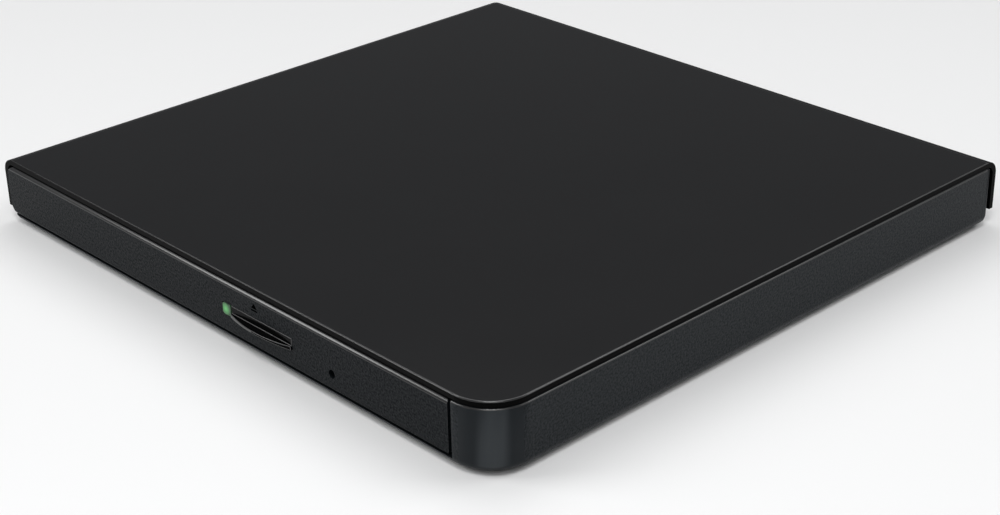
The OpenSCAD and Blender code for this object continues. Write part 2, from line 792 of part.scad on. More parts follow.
// Solid outline of the lower case, with its rounded bottom edge
module case_block() {
    x = [low_x, right_x];
    y = [front_y, low_y];
    r = [small_corner_r, corner_r, small_corner_r, small_corner_r];
    z1 = foot_h + base_r;
    inset = [for (v = r) v - base_r];
    slab_z([z1, wall_top]) rect4(x, y, r);
    slab_z([foot_h, z1]) rect4([x[0] + base_r, x[1] - base_r], [y[0] + base_r, y[1] - base_r], inset);
    rod_x([x[0] + r[0], x[1] - r[1]], y[0] + base_r, z1, base_r);
    rod_x([x[0] + r[3], x[1] - r[2]], y[1] - base_r, z1, base_r);
    rod_y(x[0] + base_r, [y[0] + r[0], y[1] - r[3]], z1, base_r);
    rod_y(x[1] - base_r, [y[0] + r[1], y[1] - r[2]], z1, base_r);
    corners = [[x[0] + r[0], y[0] + r[0]], [x[1] - r[1], y[0] + r[1]],
               [x[1] - r[2], y[1] - r[2]], [x[0] + r[3], y[1] - r[3]]];
    for (i = [0:3])
        translate([corners[i][0], corners[i][1], z1])
            rotate_extrude()
                intersection() {
                    translate([r[i] - base_r, 0]) circle(base_r);
                    translate([0, -base_r]) square([r[i], 2 * base_r]);
                }
}

module bottom_case() {
    socket_gap = 0.5;
    color("darkslategray")
    difference() {
        union() {
            difference() {
                case_block();
                slab_z([floor_z, case_h])
                    rect4([in_x, right_in], [front_y + wall_t, in_y], [0, corner_r - wall_t, 0, 0]);
                box([left_x, block_x], [front_y - cut, bezel_back + mouth_gap], [floor_z, case_h]);
                box([left_x, in_x + cut], [front_y - cut, rear_y], [skirt_wall_top, case_h]);
                box([left_x, right_in], [in_y - cut, rear_y], [skirt_wall_top, case_h]);
                slab_y([in_y - cut, rear_y + cut]) usb_window(socket_gap);
                difference() {
                    box([right_in - cut, right_x + cut], [low_y - wall_end_r, rear_y],
                        [wall_top - wall_end_r, case_h]);
                    rod_x([right_in - 2 * cut, right_x + 2 * cut], low_y - wall_end_r,
                          wall_top - wall_end_r, wall_end_r);
                }
            }
            box([block_x, block_x + inner_wall_t], [front_y + cover_inset, front_y + block_l],
                [floor_z, wall_top]);
            for (i = [-1:1])
                box([in_x, drive_x1], [i * rib_pitch - wall_t / 2, i * rib_pitch + wall_t / 2],
                    [floor_z, drive_z]);
            for (at = cover_bosses) post(at, [floor_z, boss_z], boss_r);
            for (tab = pan_tabs) post(tab_hole(tab), [floor_z, tab_z], tab_post_r);
            for (at = usb_posts) post(at, [floor_z, rear_board_z], usb_post_r);
        }
        for (at = cover_bosses) {
            post(at, [foot_h - cut, head_z], case_head_r + mould_r);
            post(at, [foot_h, boss_z + cut], case_screw_r + shank_gap);
        }
        for (tab = pan_tabs)
            post(tab_hole(tab), [tab_z - tab_grip - point_gap, tab_z + cut], screw_s + bearing_gap);
        for (at = usb_posts)
            post(at, [rear_board_z - usb_grip - point_gap, rear_board_z + cut], screw_s + bearing_gap);
        for (at = feet) post(at, [foot_h - cut, foot_h + foot_pocket], foot_r + bearing_gap);
    }
}

module rubber_feet() {
    bevel = 0.3;
    color("black")
    for (at = feet) {
        translate([at[0], at[1], 0]) cylinder(r1 = foot_r - bevel, r2 = foot_r, h = bevel);
        post(at, [bevel, foot_h + foot_pocket], foot_r);
    }
}

module case_screws() {
    face = head_z - case_head_h;
    color("silver")
    for (at = cover_bosses)
        difference() {
            screw(at, head_z, -case_head_h, case_head_r, boss_z + case_grip, case_screw_r);
            post(at, [face - cut, face + recess_hex_d], recess_hex_r, $fn = 6);
        }
}

// USB board at the rear of the case

module usb_board() {
    color("darkgreen")
    difference() {
        box(usb_board_x, [usb_board_y, in_y - pass_gap], [rear_board_z, usb_z]);
        for (at = usb_posts) post(at, [rear_board_z - cut, usb_z + cut], screw_s + shank_gap);
    }
}

// Chips standing on a board, from its corner
module chips(corner, parts, z) {
    color("black")
    for (p = parts)
        translate([corner[0] + p[0], corner[1] + p[1], z]) cube([p[2], p[3], p[4]]);
}

module usb_chips() {
    chips([usb_x, usb_board_y], usb_parts, usb_z);
}

// Outline of the USB socket's shell, with its two cut lower corners, shrunk by m
module usb_outline(m) {
    w = usb_w / 2 - m;
    low = usb_z + m;
    high = usb_z + usb_h - m;
    polygon([[usb_x - w + usb_step, low], [usb_x + w - usb_step, low], [usb_x + w, low + usb_step],
             [usb_x + w, high], [usb_x - w, high], [usb_x - w, low + usb_step]]);
}

module usb_socket() {
    color("silver")
    difference() {
        slab_y([usb_y1 - usb_l, usb_y1]) usb_outline(0);
        slab_y([usb_y1 - usb_l + usb_wall, usb_y1 + cut]) usb_outline(usb_wall);
    }
}

module usb_tongue() {
    x = [usb_x - tongue_half, usb_x + tongue_half];
    y = usb_y1 - usb_l + usb_wall;
    z = usb_z + usb_h - tongue_drop;
    color("black") {
        box(x, [y, usb_y1 - tongue_in], [z, z + tongue_t]);
        box(x, [y, y + tongue_in], [z - tongue_drop, z]);
    }
}

module usb_board_screws() {
    color("silver")
    for (at = usb_posts) screw(at, usb_z, head_h, head_r, rear_board_z - usb_grip, screw_s);
}

// Steel pan of the drive and what is fixed in it

// Middle of the hole in a pan's tab
function tab_hole(tab) = tab[2] == 0 ? [tab[0] + tab_hole_out, tab[1]] : [tab[0], tab[1] + tab_hole_out];

module pan_tab(tab) {
    translate([tab[0], tab[1], tab_z]) rotate([0, 0, tab[2]])
        translate([-join, -tab_w / 2, 0]) cube([tab_l + join, tab_w, sheet_t]);
}

module drive_pan() {
    link_low = 0.4;
    link_high = 2.6;
    color("silver")
    difference() {
        union() {
            box([drive_x, drive_x1], [drive_y, drive_y1], [drive_z, pan_z]);
            box([drive_x, pan_x], [drive_y, drive_y1], [drive_z, lid_z]);
            box([drive_x1 - sheet_t, drive_x1], [drive_y, drive_y1], [drive_z, lid_z]);
            box([drive_x, drive_x1], [pan_rear, drive_y1], [drive_z, lid_z]);
            for (at = lid_tabs)
                box([at[0] - lid_tab_half, at[0] + lid_tab_half], [at[1] - lid_tab_half, pan_rear + join],
                    [lid_z - sheet_t, lid_z]);
            for (at = rear_posts) post(at, [pan_z - join, rear_board_z], pan_post_r);
            for (tab = pan_tabs) pan_tab(tab);
        }
        for (tab = pan_tabs) post(tab_hole(tab), [pan_z, lid_z], screw_s + shank_gap);
        for (at = rear_posts)
            post(at, [rear_board_z - rear_grip - shank_gap, rear_board_z + cut], screw_s + bearing_gap);
        for (at = lid_tabs) post(at, [lid_z - sheet_t - cut, lid_z + cut], screw_s + bearing_gap);
        box([spindle_x - link_half - cut, spindle_x + link_half + cut], [pan_rear - cut, drive_y1 + cut],
            [usb_z - link_low, usb_z + link_high]);
        post([lock_x, lock_y], [drive_z - cut, pan_z + cut], rivet_r + bearing_gap);
    }
}

module drive_lid() {
    color("lightgray")
    difference() {
        union() {
            box([drive_x - lid_t, drive_x1 + lid_t], [drive_y, drive_y1], [lid_z, drive_top]);
            for (x = [drive_x - lid_t, drive_x1])
                box([x, x + lid_t], [drive_y, drive_y1], [lid_z - lid_skirt, drive_top]);
        }
        for (at = lid_tabs) post(at, [lid_z - cut, drive_top + cut], screw_s + shank_gap);
    }
}

module lid_screws() {
    color("gray")
    for (at = lid_tabs) screw(at, drive_top, flat_head_h, head_r, lid_z - sheet_t, screw_s);
}

module pan_screws() {
    color("gray")
    for (tab = pan_tabs) screw(tab_hole(tab), tab_z + sheet_t, head_h, head_r, tab_z - tab_grip, screw_s);
}

// The post is riveted through the pan's floor
module lock_post() {
    over_lever = 0.6;
    color("silver") {
        post([lock_x, lock_y], [drive_z, pan_z], rivet_r);
        post([lock_x, lock_y], [pan_z, lever_z + lever_t + over_lever], post_r);
    }
}

module rear_board() {
    color("darkgreen")
    difference() {
        box(rear_board_x, [tray_y1 + tray_t, pan_rear - pass_gap], [rear_board_z, usb_z]);
        for (at = rear_posts) post(at, [rear_board_z - cut, usb_z + cut], screw_s + shank_gap);
    }
}

module rear_board_screws() {
    color("silver")
    for (at = rear_posts) screw(at, usb_z, head_h, head_r, rear_board_z - rear_grip, screw_s);
}

// Plug and socket that join the two boards through the pan's rear wall
module link_connector() {
    plug_in = 3;
    plug_out = 2.4;
    plug_h = 2;
    color("ivory")
    box([spindle_x - link_half, spindle_x + link_half], [pan_rear - plug_in, drive_y1 + plug_out],
        [usb_z, usb_z + plug_h]);
}

module rear_cable_socket() {
    color("ivory")
    box([cable_x - socket_over, cable_x1 + socket_over], [cable_pan_y, cable_pan_y + socket_d],
        [pan_z, rear_board_z]);
}

// Rails

module guide_shape() {
    guide_y1 = tray_y1 - rail_in;
    difference() {
        box([pan_x, guide_x], [rail_y, guide_y1], [pan_z, pan_z + guide_h]);
        box([pan_x + guide_wall, guide_x - guide_lip], [rail_y - cut, guide_y1 + cut], [slot_z, slot_z1]);
        box([pan_x + guide_wall, guide_x + cut], [rail_y - cut, guide_y1 + cut],
            [tongue_z - slide_gap, tongue_z1 + slide_gap]);
    }
}

module left_guide() {
    color("whitesmoke") guide_shape();
}

module right_guide() {
    color("whitesmoke") right_side() guide_shape();
}

module rail_shape() {
    difference() {
        box([rail_x, rail_x1], [rail_y, rail_y1], [rail_z, rail_z1]);
        box([rail_x + rail_t, rail_x1 + cut], [rail_y - cut, rail_y1 + cut],
            [rail_z + rail_t, rail_z1 - rail_t]);
    }
}

module left_rail() {
    color("gainsboro") rail_shape();
}

module right_rail() {
    color("gainsboro") right_side() rail_shape();
}

// Tray

module tray_tongue() {
    box([rail_x + rail_t + slide_gap, tray_x + tray_t], [rail_y, tray_y1 - rail_over],
        [tongue_z, tongue_z1]);
}

// Room under the deck in the four corners outside the disc recess
module corner_pockets() {
    difference() {
        box([tray_x + tray_t, tray_x1 - tray_t], [tray_y + tray_t, tray_y1 - tray_t],
            [tray_z - cut, corner_top]);
        post([spindle_x, spindle_y], [tray_z - 2 * cut, rim_z + cut], recess_r + tray_t);
    }
}

// Height that a post under the tray runs up to: into the floor, or into the deck outside the disc
function post_top(at) = norm([at[0] - spindle_x, at[1] - spindle_y]) < recess_r - 2 * tray_t
    ? bay_top + tray_t / 2 : corner_top + tray_t / 2;

module disc_tray() {
    wall_y = [tray_y - cut, tray_y + tray_t + cut];
    rear_wall_y = [tray_y1 - tray_t - cut, tray_y1 + cut];
    screw_top = bay_top + point_gap;
    color("#26282b")
    difference() {
        union() {
            difference() {
                union() {
                    box([tray_x, tray_x1], [tray_y, tray_y1], [tray_z, rim_z]);
                    box([deck_x, deck_x1], [tray_y, tray_y1], [deck_z, rim_z]);
                }
                post([spindle_x, spindle_y], [recess_z, rim_z + cut], recess_r);
                box([deck_x - cut, deck_x1 + cut], [spindle_y - rim_cut, spindle_y + rim_cut],
                    [recess_z, rim_z + cut]);
                box([tray_x + tray_t, tray_x1 - tray_t], [tray_y + tray_t, tray_y1 - tray_t],
                    [tray_z - cut, bay_top]);
                corner_pockets();
                on_track() slab_z([tray_z - cut, recess_z + cut]) track_outline(frame_gap);
            }
            tray_tongue();
            right_side() tray_tongue();
            for (at = ears) on_track() post(at, [damper_z1, bay_top + tray_t / 2], ear_post_r);
            for (at = plate_posts) post(at, [tray_z, post_top(at)], plate_post_r);
            for (at = tray_posts) post(at, [board_top, post_top(at)], board_post_r);
            post([pivot_x, pivot_y], [tray_z, post_top([pivot_x, pivot_y])], pivot_r);
            for (y = pusher_guides)
                box([pusher_x - pusher_block[0], pusher_x + pusher_block[0]],
                    [y - pusher_block[1], y + pusher_block[1]], [tray_z, bay_top + join]);
        }
        for (at = ears) on_track() post(at, [ear_z, screw_top], screw_s + bearing_gap);
        for (at = plate_posts) post(at, [tray_z - cut, screw_top], screw_s + bearing_gap);
        for (at = tray_posts) post(at, [board_z, screw_top], screw_s + bearing_gap);
        // Openings in the front wall for the button, the lamp and the bezel's clips
        box([window_x - cut, window_x1 + cut], [tray_y - cut, tray_y + tray_t + mould_r],
            [board_z - stem_t, window_z1 + pass_gap]);
        for (x = clips)
            box([x - clip_w / 2 - part_gap, x + clip_w / 2 + part_gap], wall_y,
                [clip_z - part_gap, clip_z + clip_t + pass_gap]);
        rod_y(pinhole_x, wall_y, pinhole_z, pinhole_r + mould_r);
        // Way for the lock post, the spring pusher and the cable
        box([lock_x - lock_way, lock_x + lock_way], rear_wall_y, [tray_z - cut, bay_top]);
        rod_y(pusher_x, [pusher_y - cut, tray_y1 + cut], pusher_z, pusher_r + bearing_gap);
        box([cable_x - cut, cable_x1 + cut], rear_wall_y, [tray_z - cut, board_z]);
    }
}

module tray_plate() {
    edge_gap = 0.3;
    cable_gap = 1.5;
    x = [tray_x + edge_gap, cable_x - cable_gap];
    y = [tray_y + edge_gap, tray_y1 - edge_gap];
    color("silver")
    difference() {
        union() {
            box(x, y, [plate_z, tray_z]);
            box([x[1] - join, lock_x - lock_way], [y[0], cable_fold_y - cable_gap], [plate_z, tray_z]);
        }
        for (at = plate_posts) post(at, [plate_z - cut, tray_z + cut], screw_s + shank_gap);
    }
}

module tray_plate_screws() {
    slot_d = 0.15;
    color("gray")
    for (at = plate_posts)
        difference() {
            post(at, [plate_z, bay_top], screw_s);
            post(at, [plate_z - cut, plate_z + slot_d], screw_s / 2, $fn = 6);
        }
}

// Bezel, button and lamp

module front_bezel() {
    hook_y = bezel_back + tray_t + join;
    hook_l = 0.9;
    hook_h = 1.5;
    color("darkslategray")
    difference() {
        union() {
            intersection() {
                slab_y([front_y, bezel_back])
                    rect4([bezel_x, bezel_x1], [bezel_z, bezel_z1],
                          [bezel_end_r, bezel_near_r, bezel_near_r, bezel_end_r]);
                slab_x([bezel_x - cut, bezel_x1 + cut])
                    rect4([front_y, bezel_back], [bezel_z, bezel_z1], [bezel_top_r / 2, 0, 0, bezel_top_r]);
            }
            for (x = clips) {
                width = [x - clip_w / 2, x + clip_w / 2];
                box(width, [bezel_back - join, hook_y + hook_l], [clip_z, clip_z + clip_t]);
                box(width, [hook_y, hook_y + hook_l], [clip_z, clip_z + hook_h]);
            }
        }
        slab_y([front_y - cut, bezel_back + cut])
            rect4([window_x, window_x1], [window_z, window_z1], [mould_r, mould_r, mould_r, mould_r]);
        rod_y(pinhole_x, [front_y - cut, bezel_back + cut], pinhole_z, pinhole_r);
    }
}

// Lens in the left end of the button's window, with a leg that takes the light from the lamp
module lamp_lens() {
    x = [window_x + button_play, window_x + lens_w];
    end_r = 0.5;
    color("lightgreen") {
        slab_y([front_y, bezel_back + join])
            rect4(x, [window_z + button_play, window_z1 - button_play], [end_r, join, join, end_r]);
        box([x[0] - end_r, x[1]], stem_y, [board_z, window_z1 + button_play]);
    }
}

module lamp_chip() {
    x = window_x + lens_w / 2;
    color("white") box([x - lamp_half, x + lamp_half], lamp_y, [board_top, board_top + chip_h]);
}

module eject_button() {
    half = button_w / 2;
    sag = lip_reach - lip_end;
    arc_r = (half * half + sag * sag) / (2 * sag);
    low = button_z - button_h / 2;
    high = button_z + button_h / 2;
    lip_y = front_y - lip_reach;
    lip_z = button_z - lip_down;
    back = bezel_back + join;
    color("#101113") {
        intersection() {
            slab_z([low - cut, high + cut])
                intersection() {
                    translate([button_x - half, lip_y - cut])
                        square([button_w, bezel_t + lip_reach + 2 * cut]);
                    translate([button_x, lip_y + arc_r]) circle(arc_r, $fn = 128);
                }
            slab_x([button_x - half - cut, button_x + half + cut])
                polygon([[back, low], [front_y, low], [lip_y, lip_z - lip_t / 2],
                         [lip_y, lip_z + lip_t / 2], [front_y, lip_z + lip_t / 2 + lip_rise],
                         [front_y, high], [back, high]]);
        }
        box([button_x - half, button_x + half + stem_over], stem_y, [board_z, high + part_gap]);
    }
}

module eject_switch() {
    color("gray")
    difference() {
        box([button_x - switch_half, button_x + switch_half], [switch_y, tray_y + board_front],
            [board_z - pass_gap, bay_top - close_gap]);
        rod_y(button_x, [switch_y - cut, switch_y + switch_bore], switch_z, switch_r + bearing_gap);
    }
}

module switch_plunger() {
    y = stem_y[1] + close_gap;
    y1 = switch_y + switch_bore - press - 2 * bearing_gap;
    color("ivory") rod_y(button_x, [y, y1], switch_z, switch_r);
}

// Tray electronics

module tray_board() {
    z = [board_z, board_top];
    front = tray_y + board_front;
    color("darkgreen")
    difference() {
        union() {
            box([board_x, lock_x - post_r - board_in],
                [cable_fold_y - socket_over, tray_y1 - board_end], z);
            box([board_x, strip_x1], [front, cable_fold_y], z);
            box([window_x - socket_over, strip_x1], [front, front + front_board_d], z);
        }
        for (at = tray_posts) post(at, [z[0] - cut, z[1] + cut], screw_s + shank_gap);
    }
}

module tray_chips() {
    chips([board_x, tray_y], tray_parts, board_top);
}

module tray_board_screws() {
    color("silver")
    for (at = tray_posts) screw(at, board_z, -flat_head_h, head_r, bay_top, screw_s);
}

module tray_cable_socket() {
    color("ivory")
    box([cable_x - socket_over, cable_x1 + socket_over], [cable_tray_y, cable_tray_y + socket_d],
        [tray_z + join, board_z]);
}

// Flat cable: along the pan's floor, round a fold, and back under the tray's board
module flat_cable() {
    rise = cable_high_z + cable_t - cable_low_z;
    color("gold") {
        box([cable_x, cable_x1], [cable_fold_y, cable_pan_y], [cable_low_z, cable_low_z + cable_t]);
        box([cable_x, cable_x1], [cable_fold_y, cable_tray_y], [cable_high_z, cable_high_z + cable_t]);
        translate([cable_x, cable_fold_y, cable_low_z + rise / 2])
            rotate([90, 0, 90])
                linear_extrude(cable_w)
                    difference() {
                        circle(rise / 2);
                        circle(rise / 2 - cable_t);
                        translate([0, -rise]) square(2 * rise);
                    }
    }
}

// Traverse: the frame that carries the spindle and the pickup

module traverse_frame() {
    bore_r = shaft_r + bearing_gap / 2;
    base_x1 = holder_in - frame_wall;
    shaft_ends = [[holder_in - holder_back, holder_in], [holder_out, frame_x1]];
    color("gray")
    on_track()
    difference() {
        union() {
            difference() {
                slab_z([track_z, frame_top]) track_outline(0);
                slab_z([track_z - cut, frame_top + cut]) track_outline(-frame_wall);
            }
            intersection() {
                slab_z([track_z, frame_top]) track_outline(0);
                union() {
                    box([frame_x, base_x1], [-frame_half, frame_half], [track_z, frame_z]);
                    for (x = shaft_ends, y = [main_shaft_y, -sub_shaft_y])
                        box(x, [y - holder_half, y + holder_half], [track_z, holder_top]);
                    box([holder_out, frame_x1], [screw_y - 2 * screw_r, screw_y + 2 * screw_r],
                        [track_z, holder_top]);
                }
            }
            for (at = ears) {
                post(at, [ear_z, ear_z + base_t], ear_r);
                translate([at[0], at[1], ear_z])
                    rotate([0, 0, at[1] == 0 ? -90 : at[1] > 0 ? 180 : 0])
                        translate([-ear_r, 0, 0]) cube([2 * ear_r, ear_arm, base_t]);
            }
        }
        for (y = [main_shaft_y, -sub_shaft_y]) rod_x([shaft_x, shaft_x1], y, shaft_z, bore_r);
        rod_x([holder_out - cut, holder_out + screw_end + part_gap], screw_y, shaft_z,
              journal_r + bearing_gap);
        for (at = ears) post(at, [ear_z - cut, ear_z + base_t + cut], ear_hole_r + bearing_gap);
        post([0, 0], [track_z - cut, frame_z + cut], motor_hole_r);
    }
}

module traverse_cover() {
    slot_half = well_half + frame_wall;
    slot_x1 = lens_out + body_x1 - lens_in + frame_gap;
    color("#1c1d20")
    on_track()
    difference() {
        intersection() {
            slab_z([frame_top, recess_z]) track_outline(0);
            post([0, 0], [frame_top - cut, recess_z + cut], recess_r - pass_gap);
        }
        post([0, 0], [frame_top - cut, recess_z + cut], turntable_r + 2 * pass_gap);
        box([0, slot_x1], [-slot_half, slot_half], [frame_top - cut, recess_z + cut]);
    }
}

// Rubber grommets in the frame's ears
module dampers() {
    color("dimgray")
    on_track()
    for (at = ears)
        difference() {
            union() {
                post(at, [damper_z, ear_z], ear_hole_r + damper_lip);
                post(at, [ear_z, ear_z + base_t], ear_hole_r);
                post(at, [ear_z + base_t, damper_z1], ear_hole_r + damper_lip);
            }
            post(at, [damper_z - cut, damper_z1 + cut], screw_s + bearing_gap);
        }
}

module damper_screws() {
    color("silver")
    on_track()
    for (at = ears) screw(at, damper_z, -damper_head_h, head_r, bay_top, screw_s);
}

module main_shaft() {
    color("silver") on_track() rod_x([shaft_x, shaft_x1], main_shaft_y, shaft_z, shaft_r);
}

module sub_shaft() {
    color("silver") on_track() rod_x([shaft_x, shaft_x1], -sub_shaft_y, shaft_z, shaft_r);
}

module feed_motor() {
    color("gray")
    on_track()
    difference() {
        intersection() {
            rod_x(motor_x, screw_y, shaft_z, can_r);
            box(motor_x, [screw_y - can_r, screw_y + can_r], [frame_z, holder_top]);
        }
        rod_x([motor_x[1] - journal_l - can_gap, motor_x[1] + cut], screw_y, shaft_z,
              journal_r + bearing_gap);
    }
}

// Lead screw: its radius follows the thread along its length, and is plain at both ends
module lead_screw() {
    x0 = motor_x[1] - journal_l;
    x1 = holder_out + screw_end;
    sides = 12;
    rings_a_turn = 8;
    flank = 2.2;
    crest = 0.9;
    count = ceil((x1 - x0) * rings_a_turn / screw_lead);
    at = function (i) x0 + (x1 - x0) * i / count;
    ridge = function (phase) max(0, min(1, crest + flank * cos(360 * phase)));
    radius = function (x, a) x < thread_x || x > thread_x1 ? journal_r
        : screw_r - thread_d + thread_d * ridge(x / screw_lead - a / 360);
    ring = function (i) [for (k = [0:sides - 1]) let (a = 360 * k / sides, r = radius(at(i), a))
        [at(i), r * cos(a), r * sin(a)]];
    points = concat([for (i = [0:count]) each ring(i)], [[x0, 0, 0], [x1, 0, 0]]);
    hub = (count + 1) * sides;
    walls = [for (i = [0:count - 1], k = [0:sides - 1])
        let (a = i * sides + k, b = i * sides + (k + 1) % sides)
        each [[a, b, b + sides], [a, b + sides, a + sides]]];
    caps = [for (k = [0:sides - 1])
        let (n = (k + 1) % sides)
        each [[hub, n, k], [hub + 1, count * sides + k, count * sides + n]]];
    color("silver")
    on_track() translate([0, screw_y, shaft_z]) polyhedron(points, concat(walls, caps));
}

module motor_base() {
    color("tan")
    on_track()
    difference() {
        union() {
            post([0, 0], [frame_z, coil_z], rotor_r - stator_in);
            post([0, 0], [frame_z, frame_z + bearing_h], bearing_r);
        }
        post([0, 0], [frame_z + join, frame_z + bearing_h + cut], spindle_r + bearing_gap);
    }
}

module stator() {
    color("peru")
    on_track()
    difference() {
        post([0, 0], [coil_z, coil_z + coil_h], rotor_r - stator_in);
        post([0, 0], [coil_z - cut, coil_z + coil_h + cut], bearing_r + join);
        for (i = [0:poles - 1])
            rotate([0, 0, i * 360 / poles])
                box([coil_core_r, rotor_r], [-coil_slot / 2, coil_slot / 2],
                    [coil_z - cut, coil_z + coil_h + cut]);
    }
}

// Rotor, disc seat and centring hub in one turning piece
module turntable() {
    roof = flange_z - flange_t - rotor_skirt / 2;
    slot = claw_w / 2 + join;
    color("gainsboro")
    on_track()
    difference() {
        union() {
            post([0, 0], [flange_z - flange_t, flange_z], turntable_r);
            difference() {
                post([0, 0], [frame_z + rotor_gap, flange_z], rotor_r);
                post([0, 0], [track_z, roof], rotor_r - rotor_skirt);
            }
            post([0, 0], [frame_z + part_gap, roof + join], spindle_r);
            post([0, 0], [flange_z - join, bevel_z], hub_r);
            translate([0, 0, bevel_z]) cylinder(r1 = hub_r, r2 = hub_r - hub_bevel, h = hub_bevel);
        }
        for (a = claw_angles)
            rotate([0, 0, a])
                box([claw_back - claw_way, hub_r + cut], [-slot, slot],
                    [claw_z - close_gap, claw_z1 + close_gap]);
    }
}

module turntable_pad() {
    pad_r = turntable_r - part_gap;
    color("black")
    on_track()
    difference() {
        post([0, 0], [flange_z, seat_z], pad_r);
        post([0, 0], [flange_z - cut, seat_z + cut], pad_r - pad_w);
    }
}

// Sprung claw whose nose snaps over the disc's inner edge, just above the disc
module claw(angle) {
    color("ivory")
    on_track() rotate([0, 0, angle])
        slab_y([-claw_w / 2, claw_w / 2])
            polygon([[claw_back, claw_z], [claw_face, claw_z], [claw_face, bevel_z],
                     [claw_face - hub_bevel / 2, claw_z1], [claw_back, claw_z1]]);
}

module claw_1() {
    claw(claw_angles[0]);
}

module claw_2() {
    claw(claw_angles[1]);
}

module claw_3() {
    claw(claw_angles[2]);
}

// Pickup, drawn with its lens at the inner stop

module pickup_body() {
    x = [lens_in - pickup_back, lens_in + pickup_front];
    bush_z = [shaft_z - bush_h, shaft_z + bush_h];
    color("darkgray")
    on_track()
    difference() {
        union() {
            box([x[0], body_x1], body_y, body_z);
            box(x, [body_y[1] - bush_join, main_shaft_y + bush_w], bush_z);
            box(x, [-sub_shaft_y - bush_w, body_y[0] + bush_join], bush_z);
        }
        rod_x([x[0] - cut, x[1] + cut], main_shaft_y, shaft_z, shaft_r + bearing_gap);
        box([x[0] - cut, x[1] + cut], [-sub_shaft_y - bush_w - cut, -sub_shaft_y + shaft_r + mould_r],
            [shaft_z - shaft_r - bearing_gap, shaft_z + shaft_r + bearing_gap]);
        box([lens_in - well_l, lens_in + well_l], [-well_half, well_half], [well_z, shaft_z + cut]);
        rod_y(diode_x, [diode_y[0] - part_gap, diode_y[1] + join], diode_z, diode_r + bearing_gap);
    }
}

// Arm from the pickup to the lead screw, ending in a tooth in the thread
module feed_tooth() {
    root = screw_y - screw_r;
    arm_gap = 0.25;
    arm_end = root - arm_gap;
    width = screw_lead / 5;
    mid = screw_lead * round((lens_in - 1) / screw_lead);
    arm = [2, 1];
    tooth_half = 0.3;
    color("ivory")
    on_track() {
        box([mid - arm[0], mid + arm[0]], [main_shaft_y + bush_w, arm_end],
            [shaft_z - arm[1], shaft_z + arm[1]]);
        box([mid - width / 2, mid + width / 2], [arm_end - close_gap, root + thread_d - slide_gap],
            [shaft_z - tooth_half, shaft_z + tooth_half]);
    }
}

module laser_diode() {
    color("goldenrod") on_track() rod_y(diode_x, diode_y, diode_z, diode_r);
}

// Steel yoke with its two magnet walls, standing in the pickup's well
module lens_yoke() {
    base_l = well_l - part_gap;
    wall_l = well_l - cut;
    color("gray")
    on_track() {
        box([lens_in - base_l, lens_in + base_l], [-yoke_half, yoke_half], [well_z, well_z + yoke_t]);
        for (y = [-yoke_half, yoke_half - magnet_t])
            box([lens_in - wall_l, lens_in + wall_l], [y, y + magnet_t],
                [well_z + yoke_t - join, lens_top]);
    }
}

// Lens holder and lens, held by springs over the yoke
module objective_lens() {
    end_gap = 1.2;
    holder_l = well_l - end_gap;
    z = well_z + cut;
    bore_d = 0.4;
    dome_h = 0.5;
    color("lightblue")
    on_track() {
        difference() {
            box([lens_in - holder_l, lens_in + holder_l], [-holder_y, holder_y], [z, lens_top]);
            post([lens_in, 0], [z - cut, z + bore_d], lens_r);
        }
        translate([lens_in, 0, lens_top])
            intersection() {
                translate([0, 0, dome_h - 2 * lens_r]) sphere(2 * lens_r);
                translate([0, 0, -close_gap]) cylinder(r = lens_r, h = cut);
            }
    }
}

// Latch and eject pusher

// Lever with a hook for the lock post, an arm at the release hole and a tab at the solenoid
module latch_lever() {
    z = [lever_z, lever_z + lever_t];
    tab_h = [lever_z, bay_top - part_gap];
    hook_y = [lock_y + post_r - hook_bite, lock_y + post_r - hook_bite + hook_d];
    x = pivot_x - trip_half;
    stem_w = 1.2;
    color("slategray")
    difference() {
        union() {
            post([pivot_x, pivot_y], z, lever_hub_r);
            box([x, x + lever_w], [hook_y[0], pivot_y], z);
            box([x, x + stem_w], [arm_y - arm_half, pivot_y], z);
            box([pivot_x, lock_x - post_r - stem_w / 2], hook_y, z);
            box([x, x + arm_half], [arm_y - arm_half, arm_y + arm_half], tab_h);
            box([pinhole_x - trip_half, pivot_x], [pivot_y - lever_w / 2, pivot_y + lever_w / 2], z);
            box([pinhole_x - trip_half, pinhole_x + trip_half],
                [pivot_y - lever_w / 2 - arm_half, pivot_y - lever_w / 2 + join], tab_h);
        }
        post([pivot_x, pivot_y], [z[0] - cut, z[1] + cut], pivot_r + bearing_gap);
    }
}

module solenoid() {
    x = [pinhole_x + coil_in, pivot_x - coil_out];
    color("firebrick")
    difference() {
        box(x, [arm_y - solenoid_w / 2, arm_y + solenoid_w / 2], [tray_z, bay_top - close_gap]);
        rod_x([x[0] + cut, x[1] + cut], arm_y, plunger_z, plunger_r + bearing_gap);
    }
}

module solenoid_plunger() {
    color("silver")
    rod_x([pinhole_x + coil_in + plunger_in, pivot_x - trip_half - part_gap], arm_y, plunger_z, plunger_r);
}

// Rod that pushes the tray off the pan's rear wall
module eject_pusher() {
    color("ivory") rod_y(pusher_x, [pusher_y, pan_rear - join], pusher_z, pusher_r);
}

